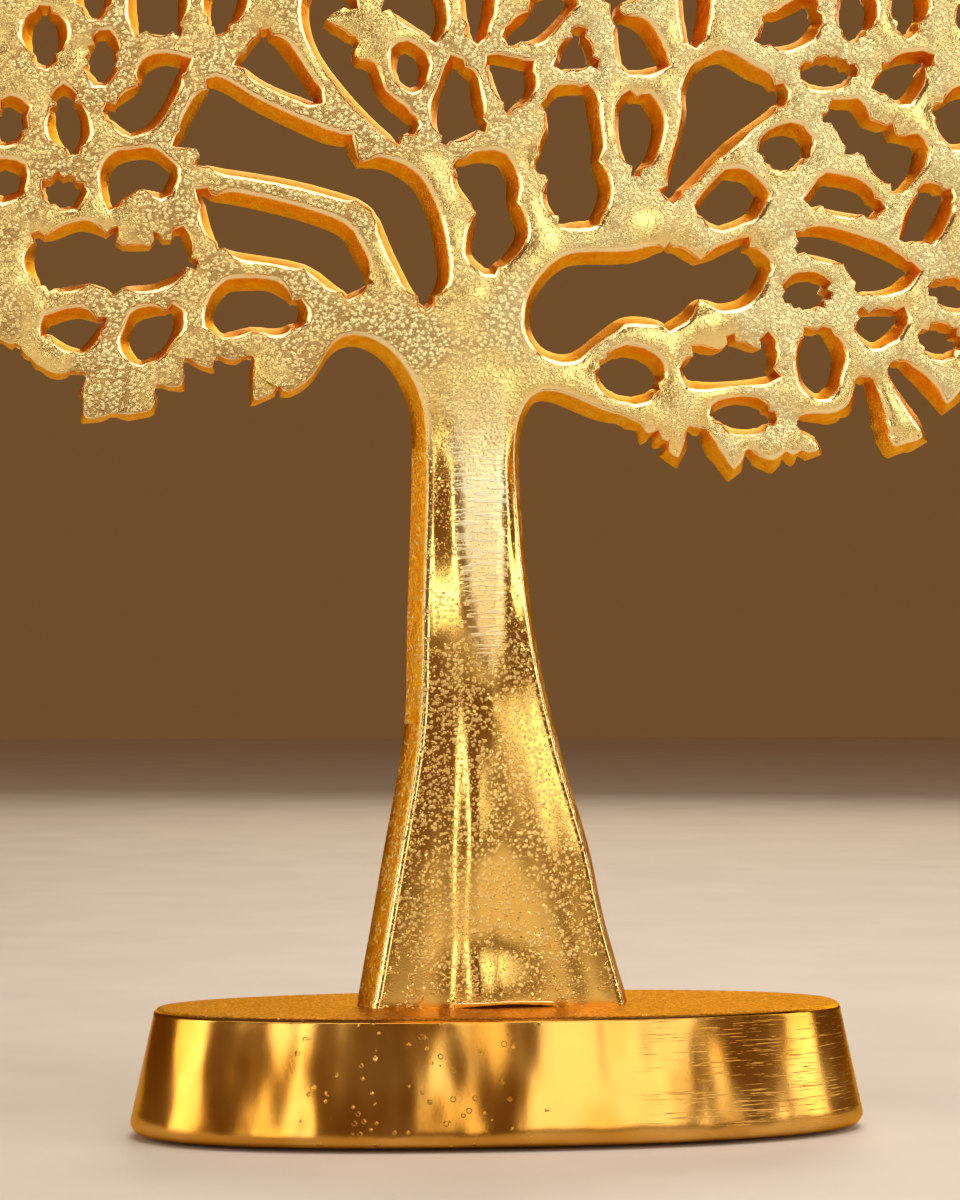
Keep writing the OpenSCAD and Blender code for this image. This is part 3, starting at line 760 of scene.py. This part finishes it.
def metalOnly(triangles, origins, borders):
    # keeps the triangles on the metal's side of the borders: it lies to the left of each
    newNumber = {old: new for new, olds in enumerate(origins) for old in olds}
    walls = {(newNumber[a], newNumber[b]) for a, b in borders}
    owner = {}
    for k, triangle in enumerate(triangles):
        for i in range(3):
            owner[(triangle[i], triangle[(i + 1) % 3])] = k
    kept = {owner[wall] for wall in walls if wall in owner}
    front = list(kept)
    while front:
        triangle = triangles[front.pop()]
        for i in range(3):
            a, b = triangle[i], triangle[(i + 1) % 3]
            beyond = owner.get((b, a))
            if beyond is None or beyond in kept or (a, b) in walls or (b, a) in walls:
                continue
            kept.add(beyond)
            front.append(beyond)
    return [triangles[k] for k in sorted(kept)]


def storeMark(mesh, name, values):
    layer = mesh.attributes.new(name, "FLOAT", "POINT")
    layer.data.foreach_set("value", np.asarray(values, np.float32))


# the shallow arch across the underside of the trunk, cut by a wide cylinder
arch = {"x": 0.5 * mm, "wide": 20 * mm, "high": 0.7 * mm, "long": 60 * mm, "sides": 720}


def makeTree(finish):
    spots, faces, marks, shape = buildTreeFront()
    mesh = bpy.data.meshes.new("tree_crown_and_trunk")
    mesh.from_pydata([tuple(spot) for spot in spots], [], [tuple(int(i) for i in face) for face in faces])
    mesh.update()
    storeMark(mesh, "edge", marks)
    storeMark(mesh, "trunk", shape.share(spots[:, 0], spots[:, 2]))
    storeMark(mesh, "facet", shape.onFacet(spots[:, 0], spots[:, 2]) * (marks > 0.9))
    piece = bpy.data.objects.new("tree_crown_and_trunk", mesh)
    bpy.context.scene.collection.objects.link(piece)
    useOnly(piece)
    mirror = piece.modifiers.new("back", "MIRROR")
    mirror.use_axis = (False, True, False)
    mirror.merge_threshold = 0.001 * mm
    bpy.ops.object.modifier_apply(modifier=mirror.name)
    bpy.ops.object.mode_set(mode="EDIT")
    bpy.ops.mesh.select_all(action="SELECT")
    bpy.ops.mesh.delete_loose()
    bpy.ops.mesh.select_all(action="SELECT")
    bpy.ops.mesh.bisect(plane_co=(0, 0, footTop), plane_no=(0, 0, -1), use_fill=True, clear_outer=True)
    closeUp(piece, 0.001 * mm)
    # the two screws' holes, and the shallow arch between them
    cutters = []
    for x in screwPlaces:
        cutters.append(addCylinder(x, 0, footTop - 2 * mm, screwsHigh.z + mm, fixings["bore"] / 2))
    archRadius = (arch["wide"] ** 2 / 4 + arch["high"] ** 2) / (2 * arch["high"])
    cutters.append(addCylinder(0, 0, -arch["long"] / 2, arch["long"] / 2, archRadius, arch["sides"]))
    bpy.ops.object.mode_set(mode="EDIT")
    bpy.ops.mesh.select_all(action="SELECT")
    bpy.ops.transform.rotate(value=math.pi / 2, orient_axis="X", center_override=(0, 0, 0))
    bpy.ops.transform.translate(value=(arch["x"], 0, footTop + arch["high"] - archRadius))
    bpy.ops.object.mode_set(mode="OBJECT")
    cutOrJoin(piece, cutters, "DIFFERENCE")
    finishPiece(piece, "tree_casting", finish, 60)


foot = {
    "sides": 160, "squareness": 2.3, "lean": 4.4 * mm, "lowerRound": 2.2 * mm, "upperRound": 1.5 * mm,
    "wall": 4 * mm, "topThick": 5 * mm, "roundSteps": 6, "sideSteps": 10,
    "topRings": (1.2 * mm, 4 * mm, 9 * mm),  # steps inwards on the flat top
    "lip": 0.6 * mm,  # slope round the lower end of the hollow
    "coveWide": 1.2 * mm, "coveHigh": 1.5 * mm,  # slope round its ceiling
    "padBoss": 13 * mm, "screwBoss": 15 * mm, "screwBossDeep": 3 * mm,
    "screwHole": 6.6 * mm, "screwHoleDeep": 6 * mm,
}


ceiling = footHigh.z - foot["topThick"]  # top of the hollow
padNames = ("pad_front_left", "pad_front_right", "pad_back_left", "pad_back_right")


def ovalAt(co, halfWide, halfDeep, z):
    # a point of a circle moved out to a slightly squarer oval
    power = 2 / foot["squareness"]
    turn = math.atan2(co.y, co.x)
    across, along = math.cos(turn), math.sin(turn)
    x = halfWide * math.copysign(abs(across) ** power, across)
    y = halfDeep * math.copysign(abs(along) ** power, along)
    return Vector((x, y, z))


def footStations():
    # outside of the foot from bottom to top: height, and how much smaller than the widest oval
    s = foot
    low, side, up = [], [], []
    for i in range(s["roundSteps"] + 1):
        a = i / s["roundSteps"] * math.pi / 2
        rise, spread = math.sin(a), math.cos(a)
        low.append((footLow.z + s["lowerRound"] * (1 - spread), s["lowerRound"] * (1 - rise)))
        up.append((footHigh.z - s["upperRound"] * (1 - rise), s["lean"] + s["upperRound"] * (1 - spread)))
    for i in range(1, s["sideSteps"]):
        share = i / s["sideSteps"]
        side.append((low[-1][0] + share * (up[0][0] - low[-1][0]), share * s["lean"]))
    return low + side + up


def stretchOval(fromLess, toLess, z):
    # makes the selected oval smaller, by the change in how much it falls short of the widest one
    wide, deep = (footHigh.x - footLow.x) / 2, (footHigh.y - footLow.y) / 2
    resize((wide - toLess) / (wide - fromLess), (deep - toLess) / (deep - fromLess), 1, (0, 0, z))


def makeFoot(finish):
    s = foot
    halfWide, halfDeep = (footHigh.x - footLow.x) / 2, (footHigh.y - footLow.y) / 2
    stations = footStations()
    bpy.ops.mesh.primitive_circle_add(vertices=s["sides"], radius=halfWide, fill_type="NGON")
    piece = startPiece("oval_foot")
    bpy.ops.object.mode_set(mode="EDIT")
    z, less = stations[0]
    bpy.ops.mesh.select_all(action="SELECT")
    placeVertices(piece, lambda co: ovalAt(co, halfWide - less, halfDeep - less, z))
    for nextZ, nextLess in stations[1:]:
        extrude(z=nextZ - z)
        stretchOval(less, nextLess, nextZ)
        z, less = nextZ, nextLess
    for ring in s["topRings"]:
        extrude()
        stretchOval(less, less + ring, z)
        less += ring
    hollowFoot(piece, *stations[0])
    joinBosses(piece)
    finishPiece(piece, "base_casting", finish, 40)


def hollowFoot(piece, z, less):
    # the hollow underneath, from the flat lower face up to its ceiling
    s = foot
    inner = s["wall"] + s["lowerRound"]
    pick(piece, "FACE", lambda face: len(face.verts) == s["sides"] and middle(face).z < z + 0.1 * mm)
    extrude()
    stretchOval(less, inner - s["lip"], z)
    extrude(z=s["lip"])
    stretchOval(inner - s["lip"], inner, z)
    atTop = s["wall"] + s["lean"]
    extrude(z=ceiling - s["coveHigh"] - (z + s["lip"]))
    stretchOval(inner, atTop, ceiling)
    extrude(z=s["coveHigh"])
    stretchOval(atTop, atTop + s["coveWide"], ceiling)
    closeUp(piece)


def joinBosses(piece):
    # round bosses under the ceiling, over the pads and round the screws
    s = foot
    bosses = []
    for name in padNames:
        low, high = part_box(name)
        x, y = (low.x + high.x) / 2, (low.y + high.y) / 2
        bosses.append(addCylinder(x, y, footLow.z, ceiling + mm, s["padBoss"] / 2))
    for x in screwPlaces:
        bosses.append(addCylinder(x, 0, ceiling - s["screwBossDeep"], ceiling + mm, s["screwBoss"] / 2))
    for boss in bosses:
        roundEdges(boss, lambda edge: middle(edge).z < ceiling and level(edge))
    cutOrJoin(piece, bosses, "UNION")
    bottom, top = ceiling - s["screwHoleDeep"], footHigh.z + mm
    bores = [addCylinder(x, 0, bottom, top, s["screwHole"] / 2) for x in screwPlaces]
    cutOrJoin(piece, bores, "DIFFERENCE")


def roundEdges(piece, test, width=0.5 * mm, steps=2):
    useOnly(piece)
    bpy.ops.object.mode_set(mode="EDIT")
    pick(piece, "EDGE", test)
    bpy.ops.mesh.bevel(offset=width, offset_type="OFFSET", segments=steps)
    bpy.ops.object.mode_set(mode="OBJECT")


screw = {
    "headSides": 72, "headHigh": 6 * mm, "headWide": 9.9 * mm, "headInset": 0.94, "headEdge": 0.4 * mm,
    "flats": 4.98 * mm, "socketDeep": 3 * mm, "socketEdge": 0.25 * mm, "socketPoint": 0.8 * mm,
    "shankWide": 5.9 * mm, "pitch": 1.0 * mm, "threadDeep": 0.45 * mm, "knurl": 0.16 * mm,
}


def onHexagon(co, centre, flats, z):
    # the point of a hexagon in the same direction from the centre
    turn = math.atan2(co.y - centre.y, co.x - centre.x)
    fromFlat = (turn % (math.pi / 3)) - math.pi / 6
    reach = flats / 2 / math.cos(fromFlat)
    return Vector((centre.x + reach * math.cos(turn), centre.y + reach * math.sin(turn), z))


def makeScrew(name, x, finish):
    s = screw
    low, high = screwsLow.z, screwsHigh.z
    centre = Vector((x, 0, low))
    sides, radius, deep = s["headSides"], s["headWide"] / 2, s["headHigh"]
    place = (x, 0, low + deep / 2)
    bpy.ops.mesh.primitive_cylinder_add(vertices=sides, radius=radius, depth=deep, location=place)
    piece = startPiece(name)
    nearRim = 0.98 * radius
    bpy.ops.object.mode_set(mode="EDIT")
    # rounded lower edge, then the hexagon socket
    pick(piece, "FACE", lambda face: face.normal.z < -0.9)
    extrude(z=0)
    resize(s["headInset"], s["headInset"], 1, centre)
    pick(piece, "VERT", lambda v: abs(v.co.z - low) < 0.01 * mm and (v.co - centre).length > nearRim)
    bpy.ops.transform.translate(value=(0, 0, s["headEdge"]))
    pick(piece, "FACE", lambda face: face.normal.z < -0.99 and len(face.verts) == sides)
    extrude()
    placeVertices(piece, lambda co: onHexagon(co, centre, s["flats"] + 2 * s["socketEdge"], low))
    extrude()
    placeVertices(piece, lambda co: onHexagon(co, centre, s["flats"], low + s["socketEdge"]))
    extrude(z=s["socketDeep"])
    extrude(z=s["socketPoint"])
    resize(0.15, 0.15, 1, centre)
    pick(piece, "FACE", lambda face: face.normal.z > 0.99 and len(face.verts) == sides)
    extrude()
    resize(s["shankWide"] / s["headWide"], s["shankWide"] / s["headWide"], 1, centre)
    extrudeThread(low + deep, high, centre)
    # knurled side of the head: every second edge stands in
    step = 2 * math.pi / sides
    pick(piece, "VERT", lambda v: (v.co - centre).xy.length > nearRim
         and round(math.atan2(v.co.y, v.co.x - x) / step) % 2 == 0)
    inside = 1 - s["knurl"] / radius
    placeVertices(piece, lambda co: Vector((x + (co.x - x) * inside, co.y * inside, co.z)))
    closeUp(piece)
    finishPiece(piece, "fixing_screws", finish, 30)


def extrudeThread(start, end, centre):
    # the shank, from the head up: plain up to the trunk's foot, then threaded
    pitch = screw["pitch"]
    inward = 1 - 2 * screw["threadDeep"] / screw["shankWide"]
    z = footTop - 1 * mm
    extrude(z=z - start)
    while z + pitch < end - 0.5 * mm:
        extrude(z=pitch * 0.4)
        resize(inward, inward, 1, centre)
        extrude(z=pitch * 0.4)
        resize(1 / inward, 1 / inward, 1, centre)
        extrude(z=pitch * 0.2)
        z += pitch
    extrude(z=end - z)
    resize(0.8, 0.8, 1, centre)


washer = {"sides": 72, "hole": 6.4 * mm, "edge": 0.2 * mm, "twist": 0.3 * mm}


def makeWasher(name, node, x, finish, outer, split=0.0):
    # a flat ring: its edges are rounded, and a spring washer is cut through and twisted
    low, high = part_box(node)
    centre = Vector((x, 0, low.z))
    bpy.ops.mesh.primitive_circle_add(vertices=washer["sides"], radius=outer / 2, location=centre)
    piece = startPiece(name)
    bpy.ops.object.mode_set(mode="EDIT")
    bpy.ops.mesh.select_all(action="SELECT")
    bpy.ops.mesh.extrude_edges_move()
    resize(washer["hole"] / outer, washer["hole"] / outer, 1, centre)
    twist = washer["twist"] if split else 0
    if split:
        pick(piece, "FACE", lambda face: abs(middle(face).y) < split and middle(face).x > x)
        bpy.ops.mesh.delete(type="FACE")
    bpy.ops.mesh.select_all(action="SELECT")
    extrude(z=high.z - low.z - twist)
    bpy.ops.mesh.select_all(action="SELECT")
    bpy.ops.mesh.normals_make_consistent(inside=False)
    placeVertices(piece, lambda co: co + Vector((0, 0, twist * turnShare(co - centre))))
    bpy.ops.object.mode_set(mode="OBJECT")
    bevel = piece.modifiers.new("edges", "BEVEL")
    bevel.width, bevel.segments, bevel.angle_limit = washer["edge"], 2, math.radians(40)
    bpy.ops.object.modifier_apply(modifier=bevel.name)
    finishPiece(piece, node, finish, 30)


def turnShare(away):
    # how far round from the split a place lies, from 0 to 1
    return math.atan2(away.y, away.x) % (2 * math.pi) / (2 * math.pi)


pad = {
    "sides": 56, "edge": 0.25 * mm, "grooves": 2,
    "land": 1.2 * mm, "slope": 0.1 * mm, "grooveWide": 0.5 * mm, "grooveDeep": 0.2 * mm,
}


def makePad(node, finish):
    # a thin rubber disc with a rounded lower edge and round grooves for grip
    low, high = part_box(node)
    radius, deep = (high.x - low.x) / 2, high.z - low.z
    place = (low + high) / 2
    bpy.ops.mesh.primitive_cylinder_add(vertices=pad["sides"], radius=radius, depth=deep, location=place)
    piece = startPiece(node.replace("pad", "rubber_pad"))
    bpy.ops.object.mode_set(mode="EDIT")
    pick(piece, "EDGE", lambda edge: max(v.co.z for v in edge.verts) < low.z + 0.01 * mm)
    bpy.ops.mesh.bevel(offset=pad["edge"], segments=3)
    for _ in range(pad["grooves"]):
        pick(piece, "FACE", lambda face: face.normal.z < -0.99 and len(face.verts) > 8)
        bpy.ops.mesh.inset(thickness=pad["land"])
        bpy.ops.mesh.inset(thickness=pad["slope"])
        extrude(z=pad["grooveDeep"])
        bpy.ops.mesh.inset(thickness=pad["grooveWide"])
        extrude(z=-pad["grooveDeep"])
    bpy.ops.object.mode_set(mode="OBJECT")
    finishPiece(piece, node, finish, 30)


footGold = {
    "side": (0.74, 0.41, 0.09), "sideShade": (0.62, 0.29, 0.04), "top": (0.74, 0.38, 0.09),
    # topShade is painted shade in the pits of the top's grain
    "topShade": (0.34, 0.14, 0.02), "glint": (1.0, 0.80, 0.42), "tint": (1.0, 0.70, 0.30),
    "waves": 0.055, "waveHigh": 11, "rough": 0.15, "deep": 0.2,
}


def makeFootGold():
    gold = Finish("cast_gold_foot")
    s = footGold
    onTop = gold.z.step(footHigh.z / mm - 0.9, footHigh.z / mm - 0.05)
    inner = 1 - gold.z.step(footLow.z / mm + 0.1, footLow.z / mm + 0.6)
    grain = gold.noise(1.7, 3.0, 0.7)
    cloud = gold.noise(0.05, 2.0)
    wave = gold.noise(s["waves"], 1.5, 0.5, stretch=(1, 1, 0.45))
    glint = 1 - gold.spots(1.1, 2.0).step(0.14, 0.30)
    glint = glint * gold.noise(0.3, 2.0).step(0.45, 0.6) * onTop
    # small round blisters left of the middle, and fine scratches on the right
    bubble = 1 - gold.spots(0.42, 7.0).step(0.16, 0.24)
    bubble = bubble * (1 - (gold.x + 18).size().step(13, 26)) * (1 - onTop)
    bubble = bubble * gold.noise(0.16, 1.0, shift=2.0).step(0.44, 0.5)
    scratch = gold.noise(0.9, 3.0, 0.7, stretch=(0.10, 0.10, 3.2)).step(0.58, 0.72)
    scratch = scratch * gold.x.step(18, 44) * (1 - onTop)
    side = gold.blend(cloud.step(0.4, 0.62), s["sideShade"], s["side"])
    # the low spots of the top's grain are painted darker: painted shade in the pits
    top = gold.blend(grain.step(0.42, 0.62), s["topShade"], s["top"])
    top = gold.blend(glint, top, s["glint"])
    gold.put("Base Color", gold.blend(onTop, side, top))
    gold.put("Metallic", 1.0)
    gold.put("Specular Tint", s["tint"])
    gold.put("Roughness", s["rough"] + onTop * 0.17 + cloud * 0.08 + scratch * 0.16 + inner * 0.05)
    height = wave * s["waveHigh"] * (1 - onTop) + grain * (onTop * 1.6 + 0.04)
    gold.relief(height + bubble * 1.5 + scratch * 0.25 + glint * 0.8, s["deep"])
    return gold.material


def makeSteel(name, colour, rough):
    steel = Finish(name)
    fine = steel.noise(2.2, 3.0, 0.65)
    dull = steel.noise(0.35, 2.0)
    steel.put("Base Color", steel.blend(dull.step(0.35, 0.65), tuple(0.72 * c for c in colour), colour))
    steel.put("Metallic", 1.0)
    steel.put("Roughness", rough + dull * 0.18 + fine * 0.06)
    steel.relief(fine, 0.03)
    return steel.material


rubberBlack, rubberDust = (0.015, 0.014, 0.013), (0.06, 0.055, 0.05)


def makeRubber():
    rubber = Finish("black_rubber")
    fine = rubber.noise(3.0, 3.0, 0.6)
    dust = rubber.noise(0.5, 3.0, 0.6)
    rubber.put("Base Color", rubber.blend(dust.step(0.5, 0.75), rubberBlack, rubberDust))
    rubber.put("Roughness", 0.62 + fine * 0.2)
    rubber.relief(fine, 0.05)
    return rubber.material


room = {"floor": (0.74, 0.70, 0.64), "air": (0.38, 0.18, 0.06), "airLight": 0.42}


def makeRoom():
    bpy.ops.mesh.primitive_plane_add(size=6, location=(0, 0, 0))
    floor = startPiece("studio_floor")
    paper = Finish("pale_floor")
    soft = paper.noise(0.02, 2.0)
    shade = tuple(0.94 * c for c in room["floor"])
    paper.put("Base Color", paper.blend(soft.step(0.3, 0.7), shade, room["floor"]))
    paper.put("Roughness", 0.55 + soft * 0.1)
    floor.data.materials.append(paper.material)
    world = bpy.data.worlds.new("studio_air")
    world.use_nodes = True
    air = world.node_tree.nodes["Background"]
    air.inputs["Color"].default_value = (*room["air"], 1)
    air.inputs["Strength"].default_value = room["airLight"]
    bpy.context.scene.world = world


def addSoftLight(name, place, wide, high, brightness, colour):
    # brightness is that of the light's face, where 1 is white in the picture
    light = bpy.data.lights.new(name, "AREA")
    light.shape, light.size, light.size_y = "RECTANGLE", wide, high
    light.energy, light.color = brightness * math.pi * wide * high, colour
    lamp = bpy.data.objects.new(name, light)
    bpy.context.scene.collection.objects.link(lamp)
    lamp.location = place
    lamp.rotation_euler = (Vector((0, 0, 0.19)) - Vector(place)).to_track_quat("-Z", "Y").to_euler()


def makeLights():
    warm, plain = (1.0, 0.86, 0.66), (1.0, 0.96, 0.90)
    addSoftLight("front_screen", (0.45, -1.30, 0.55), 0.70, 0.80, 2.1, plain)
    addSoftLight("left_screen", (-1.10, -0.35, 0.35), 0.50, 1.0, 3.3, warm)
    addSoftLight("left_strip", (-0.62, -1.15, 0.40), 0.12, 0.9, 4.6, plain)
    addSoftLight("right_screen", (0.95, -0.30, 0.50), 0.35, 0.9, 3.2, plain)
    addSoftLight("top_screen", (0.10, -0.15, 1.25), 1.1, 1.0, 3.0, plain)
    addSoftLight("back_screen", (0.35, 1.25, 0.70), 0.9, 0.6, 3.0, warm)


camera = {"lens": 96, "place": (-86 * mm, -631 * mm, 94 * mm), "tilt": 91.0, "turn": -7.4}


def makeCamera():
    lens = bpy.data.cameras.new("camera")
    lens.lens = camera["lens"]
    eye = bpy.data.objects.new("camera", lens)
    eye.location = camera["place"]
    eye.rotation_euler = (math.radians(camera["tilt"]), 0, math.radians(camera["turn"]))
    bpy.context.scene.collection.objects.link(eye)
    bpy.context.scene.camera = eye


makeTree(makeTreeGold())
makeFoot(makeFootGold())
screwSteel = makeSteel("screw_steel", (0.62, 0.62, 0.64), 0.22)
washerSteel = makeSteel("washer_steel", (0.70, 0.69, 0.67), 0.28)
springSteel = makeSteel("spring_steel", (0.42, 0.41, 0.42), 0.3)
for side, x in zip(("left", "right"), screwPlaces):
    makeScrew("socket_screw_" + side, x, screwSteel)
    makeWasher("plain_washer_" + side, "plain_washers", x, washerSteel, 12 * mm)
    makeWasher("spring_washer_" + side, "lock_washers", x, springSteel, 10.8 * mm, 0.5 * mm)
rubber = makeRubber()
for padName in padNames:
    makePad(padName, rubber)
makeRoom()
makeLights()
makeCamera()
bpy.context.scene.view_settings.view_transform = "Standard"
